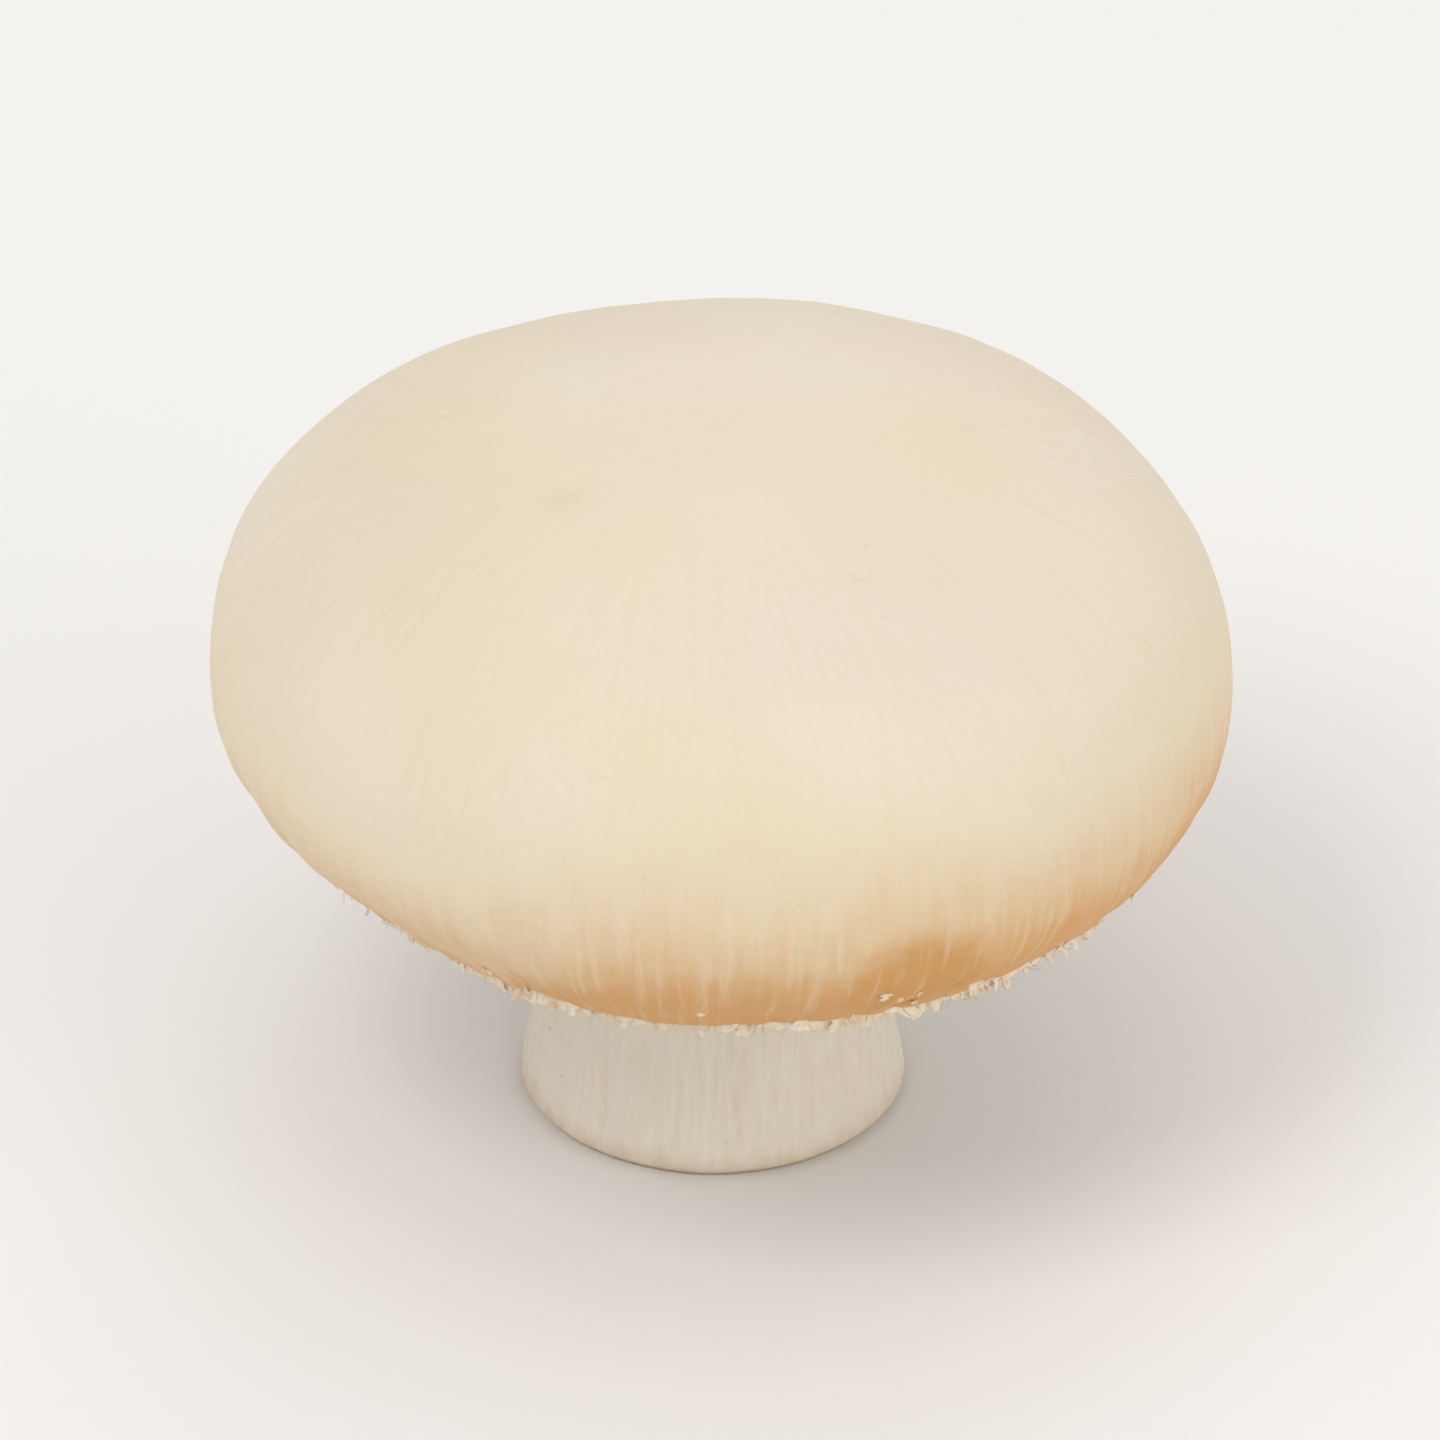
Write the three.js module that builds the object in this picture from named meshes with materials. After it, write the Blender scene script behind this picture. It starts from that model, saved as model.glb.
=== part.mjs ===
// White button mushroom, picked and trimmed: a thick closed-cup cap with a torn veil round
// its margin, the ring of gills under it, and a short stem that carries the veil's ring.
// It stands upright on the stem's flat cut face. Millimetres, +Z up. The origin is the
// middle of the cut face.

import * as THREE from 'three';

// Cap: a full dome above its widest level, curling in to the margin below it
const CAP_RADIUS = 27;
const CAP_RISE = 16.5;
const DOME_FULLNESS = 2.28;
const CURL_DEPTH = 12.7;
const CURL_FULLNESS = 2.25;
const WIDEST_LEVEL = 25;
const MARGIN_RADIUS = 22.4;
const LIP_ROUND = 0.8;
const LIP_THICKNESS = 1.5;
const LIP_FLARE = 0.5;
const LIP_FLARE_RISE = 0.6;
const CAP_COLUMNS = 96;

// Roof: the underside of the cap's flesh, flat over the stem and arched over the gills
const ROOF_RADIUS = 22.3;
const ROOF_LEVEL = 18.6;
const ROOF_RISE = 10;
const ROOF_FULLNESS = 2.6;

// Veil: the torn fringe that hangs from the cap's margin
const FRINGE_DROP = 0.1;
const FRINGE_TATTER = 1.2;
const FRINGE_SEED = 11;

// Gills: full blades from stem to margin, with a short blade between each two
const FULL_GILLS = 36;
const GILL_THICKNESS = 0.62;
const GILL_SLANT = 0.1;
const GILL_WEB = 0.8;
const GILL_INNER_RADIUS = 11.2;
const GILL_OUTER_RADIUS = 21.6;
const SHORT_GILL_START = 14.6;
const GILL_EDGE_INNER_LEVEL = 22.6;
const GILL_EDGE_OUTER_LEVEL = 18.9;
const GILL_END_RUN = 1.6;
const GILL_WAVER = 0.1;
const GILL_SCATTER = 0.06;
const SHORT_GILL_STUB = 0.24;
const GILL_STATIONS = 7;
const GILL_SEED = 5;

// Stem: cut flat below, with the veil's ring round it and its top under the cap's flesh
const FOOT_RADIUS = 10.3;
const FOOT_ROUND = 0.6;
const WAIST_RADIUS = 9.5;
const WAIST_LEVEL = 7;
const STEM_TOP_RADIUS = 10.2;
const RING_LEVEL = 13.4;
const RING_REACH = 1.7;
const RING_THICKNESS = 0.9;
const RING_TATTER = 0.8;
const RING_SEED = 29;
const STEM_COLUMNS = 72;

// The gap that parts one piece from the next
const GAP = 0.3;

// Growth: the cap is a little out of round and leans over on a slightly bent stem
const LEAN = THREE.MathUtils.degToRad(2.7);
const LEAN_HEADING = THREE.MathUtils.degToRad(34);
const BEND_HEIGHT = 16;
const TWO_LOBED = 0.0115;
const TWO_LOBED_PHASE = 0.8;
const THREE_LOBED = 0.0075;
const THREE_LOBED_PHASE = -2.2;
const UNDULATION = 0.2;

function seededRandom(seed) {
  let state = seed;
  return () => {
    state = (state + 0x6d2b79f5) | 0;
    let mixed = Math.imul(state ^ (state >>> 15), 1 | state);
    mixed = (mixed + Math.imul(mixed ^ (mixed >>> 7), 61 | mixed)) ^ mixed;
    return ((mixed ^ (mixed >>> 14)) >>> 0) / 4294967296;
  };
}

// Moves a point of the evenly turned mushroom to its place in the grown one. Every piece
// goes through the same growth, so the gaps between them stay even.
function grow(point) {
  const angle = Math.atan2(point.y, point.x);
  const height = THREE.MathUtils.smoothstep(point.z, 0, WIDEST_LEVEL);

  const lobes = TWO_LOBED * Math.cos(2 * angle + TWO_LOBED_PHASE)
    + THREE_LOBED * Math.cos(3 * angle + THREE_LOBED_PHASE);
  const swell = 1 + lobes * (0.5 + 0.5 * height);
  point.x *= swell;
  point.y *= swell;

  const wave = Math.sin(0.13 * point.x + 0.4) * Math.sin(0.12 * point.y - 0.7)
    + 0.6 * Math.sin(0.21 * point.x - 0.16 * point.y + 2.1);
  point.z += UNDULATION * wave * height;

  const bend = Math.min(point.z / BEND_HEIGHT, 1);
  const bent = BEND_HEIGHT * (bend ** 3 - bend ** 4 / 2) + Math.max(point.z - BEND_HEIGHT, 0);
  const tilt = LEAN * THREE.MathUtils.smoothstep(bend, 0, 1);
  const along = point.x * Math.cos(LEAN_HEADING) + point.y * Math.sin(LEAN_HEADING);
  point.x += LEAN * bent * Math.cos(LEAN_HEADING);
  point.y += LEAN * bent * Math.sin(LEAN_HEADING);
  point.z -= along * tilt;
}

// Turns a profile round Z, then lets place() move each point before it is grown. The last
// column of points lies on the first and counts as it.
function turned(profile, columns, place) {
  const geometry = new THREE.LatheGeometry(profile, columns);
  geometry.rotateX(Math.PI / 2);
  const position = geometry.attributes.position;
  const point = new THREE.Vector3();
  for (let index = 0; index < position.count; index++) {
    const row = index % profile.length;
    const column = Math.floor(index / profile.length) % columns;
    point.fromBufferAttribute(position, index);
    place(point, row, column);
    grow(point);
    position.setXYZ(index, point.x, point.y, point.z);
  }
  geometry.computeVertexNormals();
  return geometry;
}

// A quarter of a rounded oval, from the end of its height (angle 0) to its widest point
function ovalPoint(radius, height, fullness, angle) {
  const across = (Math.sin(angle) / radius) ** fullness;
  const up = (Math.cos(angle) / height) ** fullness;
  const reach = (across + up) ** (-1 / fullness);
  return new THREE.Vector2(reach * Math.sin(angle), reach * Math.cos(angle));
}

function ovalHeight(radius, height, fullness, at) {
  return height * (1 - (at / radius) ** fullness) ** (1 / fullness);
}

function roofLevel(radius) {
  const at = Math.max(radius, STEM_TOP_RADIUS + GAP);
  return ROOF_LEVEL + ovalHeight(ROOF_RADIUS, ROOF_RISE, ROOF_FULLNESS, at);
}

// Where the roof and the gills have their rows of points, from the stem out
const gillRadii = Array.from({ length: GILL_STATIONS }, (_, station) => (
  THREE.MathUtils.lerp(GILL_INNER_RADIUS, GILL_OUTER_RADIUS, station / (GILL_STATIONS - 1))
));
const roofRadii = [STEM_TOP_RADIUS + GAP, ...gillRadii];

// How far the veil hangs at each column: short runs of tatters of differing length
function tatters(columns, seed) {
  const random = seededRandom(seed);
  const drops = [];
  let level = random();
  for (let column = 0; column < columns; column++) {
    if (random() < 0.45) {
      level = random() ** 1.6;
    }
    drops.push(0.8 * level + 0.2 * random());
  }
  return drops;
}

function capGeometry() {
  const margin = WIDEST_LEVEL - ovalHeight(CAP_RADIUS, CURL_DEPTH, CURL_FULLNESS, MARGIN_RADIUS);
  const lipRadius = MARGIN_RADIUS - LIP_THICKNESS;
  const lipLevel = margin - LIP_ROUND;
  const profile = [new THREE.Vector2(0, roofLevel(0))];
  for (const radius of roofRadii) {
    profile.push(new THREE.Vector2(radius, roofLevel(radius)));
  }
  profile.push(new THREE.Vector2(ROOF_RADIUS, ROOF_LEVEL));
  profile.push(new THREE.Vector2(lipRadius + LIP_FLARE, margin + LIP_FLARE_RISE));
  profile.push(new THREE.Vector2(lipRadius, margin));
  const fringeInner = profile.length;
  profile.push(new THREE.Vector2(lipRadius, lipLevel));
  const fringeOuter = profile.length;
  for (const angle of [0, Math.PI / 4, Math.PI / 2]) {
    profile.push(new THREE.Vector2(
      MARGIN_RADIUS - LIP_ROUND * (1 - Math.sin(angle)),
      margin - LIP_ROUND * Math.cos(angle),
    ));
  }

  const marginAngle = Math.atan2(MARGIN_RADIUS, WIDEST_LEVEL - margin);
  const curlSteps = 5;
  for (let step = 1; step < curlSteps; step++) {
    const angle = THREE.MathUtils.lerp(marginAngle, Math.PI / 2, step / curlSteps);
    const below = ovalPoint(CAP_RADIUS, CURL_DEPTH, CURL_FULLNESS, angle);
    profile.push(new THREE.Vector2(below.x, WIDEST_LEVEL - below.y));
  }
  const domeSteps = 14;
  for (let step = 0; step < domeSteps; step++) {
    const angle = (Math.PI / 2) * (1 - step / domeSteps);
    const above = ovalPoint(CAP_RADIUS, CAP_RISE, DOME_FULLNESS, angle);
    profile.push(new THREE.Vector2(above.x, WIDEST_LEVEL + above.y));
  }
  profile.push(new THREE.Vector2(0, WIDEST_LEVEL + CAP_RISE));

  const drops = tatters(CAP_COLUMNS, FRINGE_SEED);
  return turned(profile, CAP_COLUMNS, (point, row, column) => {
    if (row === fringeInner || row === fringeOuter) {
      point.z -= FRINGE_DROP + FRINGE_TATTER * drops[column];
    }
  });
}

function gillGeometry() {
  const blades = 2 * FULL_GILLS;
  const columnsPerBlade = 4;
  const top = gillRadii.filter((_, station) => station % 2 === 0).reverse();
  const rings = [...gillRadii, ...top, GILL_INNER_RADIUS];
  const profile = rings.map((radius) => new THREE.Vector2(radius, roofLevel(radius) - GAP));

  const random = seededRandom(GILL_SEED);
  const shapes = [];
  for (let blade = 0; blade < blades; blade++) {
    shapes.push({
      heading: blade + 2 * GILL_SCATTER * (random() - 0.5),
      phase: 2 * Math.PI * random(),
      depth: 1 - 0.1 * random(),
      isShort: blade % 2 === 1,
      start: SHORT_GILL_START + 3 * random(),
    });
  }

  return turned(profile, columnsPerBlade * blades, (point, row, column) => {
    const shape = shapes[Math.floor(column / columnsPerBlade)];
    const corner = column % columnsPerBlade;
    const isRoot = corner === 0 || corner === 3;
    const side = corner < 2 ? -1 : 1;
    const radius = rings[row];
    const full = shape.isShort
      ? THREE.MathUtils.smoothstep(radius, GILL_INNER_RADIUS, SHORT_GILL_START) : 1;
    const thickness = THREE.MathUtils.lerp(SHORT_GILL_STUB, GILL_THICKNESS, full);
    const halfThickness = thickness / 2 + (isRoot ? GILL_SLANT : 0);
    const waver = GILL_WAVER * Math.sin(0.5 * radius + shape.phase);
    const angle = shape.heading * 2 * Math.PI / blades + (side * halfThickness + waver) / radius;
    point.x = radius * Math.cos(angle);
    point.y = radius * Math.sin(angle);

    const isUnderside = row < gillRadii.length || row === rings.length - 1;
    if (isUnderside) {
      point.z -= GILL_WEB;
      if (!isRoot) {
        const run = (radius - GILL_INNER_RADIUS) / (GILL_OUTER_RADIUS - GILL_INNER_RADIUS);
        const edge = THREE.MathUtils.lerp(GILL_EDGE_INNER_LEVEL, GILL_EDGE_OUTER_LEVEL, run);
        const grown = shape.isShort
          ? THREE.MathUtils.clamp((radius - shape.start) / GILL_END_RUN, 0, 1) : 1;
        point.z -= Math.max(point.z - edge, 0) * shape.depth * grown;
      }
    }
  });
}

// A point of the stem's side by its share of the ring's reach and its drop below the ring
function ringPoint(share, drop) {
  return new THREE.Vector2(WAIST_RADIUS + share * RING_REACH, RING_LEVEL - drop);
}

function stemGeometry() {
  const topLevel = roofLevel(0) - GAP;
  const foot = new THREE.Vector2(FOOT_RADIUS, FOOT_ROUND);
  const waist = new THREE.Vector2(WAIST_RADIUS, WAIST_LEVEL);
  const top = new THREE.Vector2(STEM_TOP_RADIUS, topLevel);
  const profile = [
    new THREE.Vector2(0, 0),
    new THREE.Vector2(0.55 * FOOT_RADIUS, 0),
    new THREE.Vector2(FOOT_RADIUS - FOOT_ROUND, 0),
    foot,
    new THREE.Vector2(THREE.MathUtils.lerp(foot.x, waist.x, 0.6), 0.4 * waist.y),
    waist,
    ringPoint(0, 2.2),
    ringPoint(0.4, 1.2),
  ];
  const ringLower = profile.length;
  profile.push(ringPoint(1, RING_THICKNESS));
  const ringUpper = profile.length;
  profile.push(ringPoint(1, 0));
  profile.push(ringPoint(0.3, -0.7));
  profile.push(ringPoint(0.06, -2));
  profile.push(waist.clone().lerp(top, 0.6));
  profile.push(top);
  profile.push(new THREE.Vector2(0, topLevel));

  const tears = tatters(STEM_COLUMNS, RING_SEED);
  const ringRadius = WAIST_RADIUS + RING_REACH;
  return turned(profile, STEM_COLUMNS, (point, row, column) => {
    if (row === ringLower || row === ringUpper) {
      const reach = 1 - RING_TATTER * tears[column] / ringRadius;
      point.x *= reach;
      point.y *= reach;
      point.z -= 0.5 * RING_TATTER * tears[(column + 7) % STEM_COLUMNS];
    }
  });
}

function piece(name, geometry, color, roughness) {
  const mesh = new THREE.Mesh(
    geometry,
    new THREE.MeshStandardMaterial({ color, roughness, metalness: 0 }),
  );
  mesh.name = name;
  return mesh;
}

const mushroom = new THREE.Group();
mushroom.name = 'button_mushroom';
mushroom.add(piece('cap', capGeometry(), 0xeadfcb, 0.62));
mushroom.add(piece('gills', gillGeometry(), 0xc9a48c, 0.75));
mushroom.add(piece('stem', stemGeometry(), 0xe8dcc6, 0.7));

export default mushroom;
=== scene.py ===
"""The looks of a white button mushroom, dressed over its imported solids.

Shapes are worked out in millimetres from the mushroom's own driving sizes, go through the
same growth as the solids, and are turned into metres when a mesh is made. Levels are
heights above the stem's cut face, and headings are angles round the stem from +X.
"""

import math

import bpy
import numpy as np
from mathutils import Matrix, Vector


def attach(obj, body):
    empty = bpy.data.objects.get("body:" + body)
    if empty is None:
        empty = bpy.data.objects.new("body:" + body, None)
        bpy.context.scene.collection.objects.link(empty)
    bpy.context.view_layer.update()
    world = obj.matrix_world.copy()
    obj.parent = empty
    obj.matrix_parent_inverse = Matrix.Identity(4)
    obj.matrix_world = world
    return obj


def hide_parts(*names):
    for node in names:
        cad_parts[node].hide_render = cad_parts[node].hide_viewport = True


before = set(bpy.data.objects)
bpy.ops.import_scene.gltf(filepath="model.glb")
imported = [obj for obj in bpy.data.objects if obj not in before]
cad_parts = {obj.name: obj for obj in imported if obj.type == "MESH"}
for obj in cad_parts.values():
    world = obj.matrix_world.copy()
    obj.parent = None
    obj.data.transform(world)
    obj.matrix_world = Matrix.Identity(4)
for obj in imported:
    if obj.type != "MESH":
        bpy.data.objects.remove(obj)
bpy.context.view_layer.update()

MM = 0.001
FULL_TURN = 2 * math.pi

# Cap: a full dome above its widest level, curling in to the margin below it
CAP_RADIUS = 27.0
CAP_RISE = 16.5
DOME_FULLNESS = 2.28
CURL_DEPTH = 12.7
CURL_FULLNESS = 2.25
WIDEST_LEVEL = 25.0
MARGIN_RADIUS = 22.4
LIP_THICKNESS = 1.5
LIP_ROUND = 0.8

# Roof of flesh over the gills
ROOF_RADIUS = 22.3
ROOF_LEVEL = 18.6
ROOF_RISE = 10.0
ROOF_FULLNESS = 2.6

# Gills
GILL_INNER_RADIUS = 10.9
GILL_OUTER_RADIUS = 21.9
GILL_EDGE_INNER_LEVEL = 22.6
GILL_EDGE_OUTER_LEVEL = 18.9

# Stem
FOOT_RADIUS = 10.3
FOOT_ROUND = 0.6
WAIST_RADIUS = 9.5
WAIST_LEVEL = 7.0
STEM_TOP_RADIUS = 10.2
FLARE_LEVEL = 21.0
RING_LEVEL = 13.4

# Two rows this far from the axis close the roof of the cap and the top of the stem
CORE_RADII = (5.0, 0.4)

# Growth: the cap is a little out of round and leans over on a slightly bent stem
LEAN = math.radians(2.7)
LEAN_HEADING = math.radians(34)
BEND_HEIGHT = 16.0
TWO_LOBED = 0.0115
TWO_LOBED_PHASE = 0.8
THREE_LOBED = 0.0075
THREE_LOBED_PHASE = -2.2
UNDULATION = 0.2

# Most of the veil is left on the margin at the torn side. On one side the tan of the margin,
# partly the skin's own browning and partly painted warm shade, reaches higher up the skin.
TORN_SIDE = math.radians(-35)
TAN_AND_SHADE_SIDE = math.radians(-52)
TAN_AND_SHADE_RISE = 4.0


# ---------------------------------------------------------------- camera, light and floor

CAMERA_ELEVATION = math.radians(32)
CAMERA_DISTANCE = 1.13
CAMERA_TARGET = (0.0004, 0, 0.0225)
VIEW_WIDTH = 0.077
SENSOR = 36.0

# Soft round lamps: place and size in metres, power in watts, colour
LAMPS = {
    "key_light": ((-0.34, -0.34, 0.68), 0.42, 1.6, (1.0, 0.985, 0.96)),
    "fill_light": ((0.65, -0.45, 0.35), 0.6, 1.2, (1.0, 0.96, 0.90)),
    "back_light": ((0.15, 0.60, 0.50), 0.5, 0.5, (1.0, 1.0, 1.0)),
}
LAMP_TARGET = (0, 0, 0.025)
ROOM_COLOR = (1.0, 0.99, 0.975, 1)
ROOM_STRENGTH = 0.71
FLOOR_WIDTH = 6
FLOOR_COLOR = (0.93, 0.925, 0.915, 1)
FLOOR_ROUGHNESS = 0.8


def add_aimed(name, data, place, target):
    """Puts a camera or lamp in the scene, looking at the target."""
    thing = bpy.data.objects.new(name, data)
    thing.location = place
    thing.rotation_euler = (Vector(target) - thing.location).to_track_quat("-Z", "Y").to_euler()
    bpy.context.scene.collection.objects.link(thing)
    return thing


def make_camera():
    data = bpy.data.cameras.new("camera")
    data.sensor_width = SENSOR
    data.lens = SENSOR * CAMERA_DISTANCE / VIEW_WIDTH
    data.clip_start = 0.01
    data.clip_end = 20
    toward = Vector((0, -math.cos(CAMERA_ELEVATION), math.sin(CAMERA_ELEVATION)))
    place = Vector(CAMERA_TARGET) + CAMERA_DISTANCE * toward
    bpy.context.scene.camera = add_aimed("camera", data, place, CAMERA_TARGET)


def make_lamps():
    for name, (place, size, power, tint) in LAMPS.items():
        data = bpy.data.lights.new(name, "AREA")
        data.shape = "DISK"
        data.size = size
        data.energy = power
        data.color = tint
        add_aimed(name, data, place, LAMP_TARGET)


def make_room():
    world = bpy.data.worlds.new("studio")
    world.use_nodes = True
    backdrop = world.node_tree.nodes["Background"]
    backdrop.inputs["Color"].default_value = ROOM_COLOR
    backdrop.inputs["Strength"].default_value = ROOM_STRENGTH
    bpy.context.scene.world = world
    bpy.context.scene.view_settings.view_transform = "Standard"


def make_floor():
    bpy.ops.mesh.primitive_plane_add(size=FLOOR_WIDTH)
    floor = bpy.context.object
    floor.name = "floor"
    paint = bpy.data.materials.new("floor_paint")
    paint.use_nodes = True
    shader = paint.node_tree.nodes["Principled BSDF"]
    shader.inputs["Base Color"].default_value = FLOOR_COLOR
    shader.inputs["Roughness"].default_value = FLOOR_ROUGHNESS
    floor.data.materials.append(paint)


make_camera()
make_lamps()
make_room()
make_floor()


# ---------------------------------------------------------------- shape tools

def smooth(value, low, high):
    """0 below low, 1 above high and an even S between them."""
    t = np.clip((value - low) / (high - low), 0, 1)
    return t * t * (3 - 2 * t)


def soften(line, stretch, passes, middle):
    """Evens out a stretch of a profile, weighing each value `middle` times its neighbours."""
    before = slice(stretch.start - 1, stretch.stop - 1)
    after = slice(stretch.start + 1, stretch.stop + 1)
    for _ in range(passes):
        line[stretch] = (line[before] + middle * line[stretch] + line[after]) / (2 + middle)


def ripple(x, y, z, wavelength, seed, waves=26):
    """A smooth random swell of about unit height, with bumps about a wavelength across."""
    draw = np.random.default_rng(seed)
    total = 0
    for _ in range(waves):
        heading = draw.normal(size=3)
        heading /= np.linalg.norm(heading)
        pitch = FULL_TURN / (wavelength * draw.uniform(0.7, 1.5))
        phase = draw.uniform(0, FULL_TURN)
        total = total + np.sin(pitch * (heading[0] * x + heading[1] * y + heading[2] * z) + phase)
    return total * math.sqrt(2 / waves)


def round_ripple(angle, slowest, fastest, seed):
    """A random swell round a full turn, made of whole numbers of waves, so it closes."""
    draw = np.random.default_rng(seed)
    counts = range(slowest, fastest + 1)
    total = 0
    for count in counts:
        total = total + draw.normal() * np.sin(count * angle + draw.uniform(0, FULL_TURN))
    return total * math.sqrt(1 / len(counts))


def round_angles(columns):
    return np.linspace(0, FULL_TURN, columns, endpoint=False)


def oval_point(radius, height, fullness, angle):
    """A quarter of a rounded oval, from the end of its height to its widest point."""
    reach = (np.sin(angle) / radius) ** fullness + (np.cos(angle) / height) ** fullness
    reach = reach ** (-1 / fullness)
    return reach * np.sin(angle), reach * np.cos(angle)


def oval_height(radius, height, fullness, at):
    return height * (1 - (at / radius) ** fullness) ** (1 / fullness)


def roof_level(radius):
    at = np.clip(radius, STEM_TOP_RADIUS + 0.3, ROOF_RADIUS)
    return ROOF_LEVEL + oval_height(ROOF_RADIUS, ROOF_RISE, ROOF_FULLNESS, at)


MARGIN_LEVEL = WIDEST_LEVEL - oval_height(CAP_RADIUS, CURL_DEPTH, CURL_FULLNESS, MARGIN_RADIUS)
MARGIN_ANGLE = math.atan2(MARGIN_RADIUS, WIDEST_LEVEL - MARGIN_LEVEL)


def grow(x, y, z):
    """Moves points of the evenly turned mushroom to their places in the grown one."""
    angle = np.arctan2(y, x)
    height = smooth(z, 0, WIDEST_LEVEL)
    lobes = TWO_LOBED * np.cos(2 * angle + TWO_LOBED_PHASE)
    lobes = lobes + THREE_LOBED * np.cos(3 * angle + THREE_LOBED_PHASE)
    swell = 1 + lobes * (0.5 + 0.5 * height)
    x = x * swell
    y = y * swell
    wave = np.sin(0.13 * x + 0.4) * np.sin(0.12 * y - 0.7)
    wave = wave + 0.6 * np.sin(0.21 * x - 0.16 * y + 2.1)
    z = z + UNDULATION * wave * height
    bend = np.minimum(z / BEND_HEIGHT, 1)
    bent = BEND_HEIGHT * (bend**3 - bend**4 / 2) + np.maximum(z - BEND_HEIGHT, 0)
    tilt = LEAN * smooth(bend, 0, 1)
    along = x * math.cos(LEAN_HEADING) + y * math.sin(LEAN_HEADING)
    x = x + LEAN * bent * math.cos(LEAN_HEADING)
    y = y + LEAN * bent * math.sin(LEAN_HEADING)
    return x, y, z - along * tilt


class Shape:
    """Closed bodies put together, point by point, into one mesh."""

    def __init__(self):
        self.points = []
        self.faces = []
        self.values = []
        self.count = 0

    def add_points(self, x, y, z, value):
        x, y, z = grow(x, y, z)
        self.points.append(np.stack([x.ravel(), y.ravel(), z.ravel()], axis=1) * MM)
        self.values.append(np.broadcast_to(value, x.shape).ravel())
        first = self.count
        self.count += x.size
        return first + np.arange(x.size).reshape(x.shape)

    def add_lattice(self, x, y, z, value=0.0, ring=False):
        """A lattice of rows by columns whose columns close round. Its first and last rows
        are closed by a fan each, or with ring the last row joins the first."""
        index = self.add_points(x, y, z, value)
        rows = np.vstack([index, index[:1]]) if ring else index
        a = rows[:-1]
        d = rows[1:]
        b = np.roll(a, -1, axis=1)
        c = np.roll(d, -1, axis=1)
        quads = np.stack([a, b, c, d], axis=-1).reshape(-1, 4)
        self.faces.extend(quads.tolist())
        if ring:
            return
        for row, turn in ((0, 1), (-1, -1)):
            middle = [np.array([axis[row].mean()]) for axis in (x, y, z)]
            centre = self.add_points(*middle, np.mean(np.broadcast_to(value, x.shape)[row]))[0]
            edge = index[row]
            following = np.roll(edge, -1)
            for one, two in zip(edge.tolist(), following.tolist()):
                self.faces.append([centre, two, one][::turn])

    def build(self, name, material, replaces=None, sharp_from=None, value_name=None):
        """Makes the piece. Edges turn sharp from an angle in degrees, where one is given."""
        mesh = bpy.data.meshes.new(name)
        mesh.from_pydata(np.concatenate(self.points).tolist(), [], self.faces)
        mesh.validate()
        if value_name:
            layer = mesh.attributes.new(value_name, "FLOAT", "POINT")
            layer.data.foreach_set("value", np.concatenate(self.values).astype(np.float32))
        turn_outward(mesh)
        mesh.shade_smooth()
        if sharp_from:
            mesh.set_sharp_from_angle(angle=math.radians(sharp_from))
        mesh.materials.append(material)
        piece = bpy.data.objects.new(name, mesh)
        bpy.context.scene.collection.objects.link(piece)
        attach(piece, "root")
        if replaces:
            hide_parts(replaces)


def turn_outward(mesh):
    """Flips the faces if the mesh's bodies are inside out."""
    mesh.calc_loop_triangles()
    corner = np.zeros(3 * len(mesh.loop_triangles), int)
    mesh.loop_triangles.foreach_get("vertices", corner)
    points = np.zeros(3 * len(mesh.vertices))
    mesh.vertices.foreach_get("co", points)
    a, b, c = points.reshape(-1, 3)[corner.reshape(-1, 3)].transpose(1, 0, 2)
    if np.einsum("ij,ij->", a, np.cross(b, c)) < 0:
        mesh.flip_normals()


def turned(radius, level, columns):
    """Spins a profile round Z into lattices of radius, level and angle."""
    angle = np.broadcast_to(round_angles(columns), (len(radius), columns))
    even = np.ones_like(angle)
    return radius[:, None] * even, level[:, None] * even, angle


# ---------------------------------------------------------------- finishes

FLESH_IOR = 1.4


class Signal:
    """One shader output. Arithmetic on it adds Math nodes."""

    def __init__(self, finish, socket):
        self.finish = finish
        self.socket = socket

    def math(self, operation, *inputs):
        return self.finish.node("Math", {"operation": operation}, dict(enumerate(inputs)))

    def __add__(self, other):
        return self.math("ADD", self, other)

    def __sub__(self, other):
        return self.math("SUBTRACT", self, other)

    def __rsub__(self, other):
        return self.math("SUBTRACT", other, self)

    def __mul__(self, other):
        return self.math("MULTIPLY", self, other)

    __radd__ = __add__
    __rmul__ = __mul__


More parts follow.
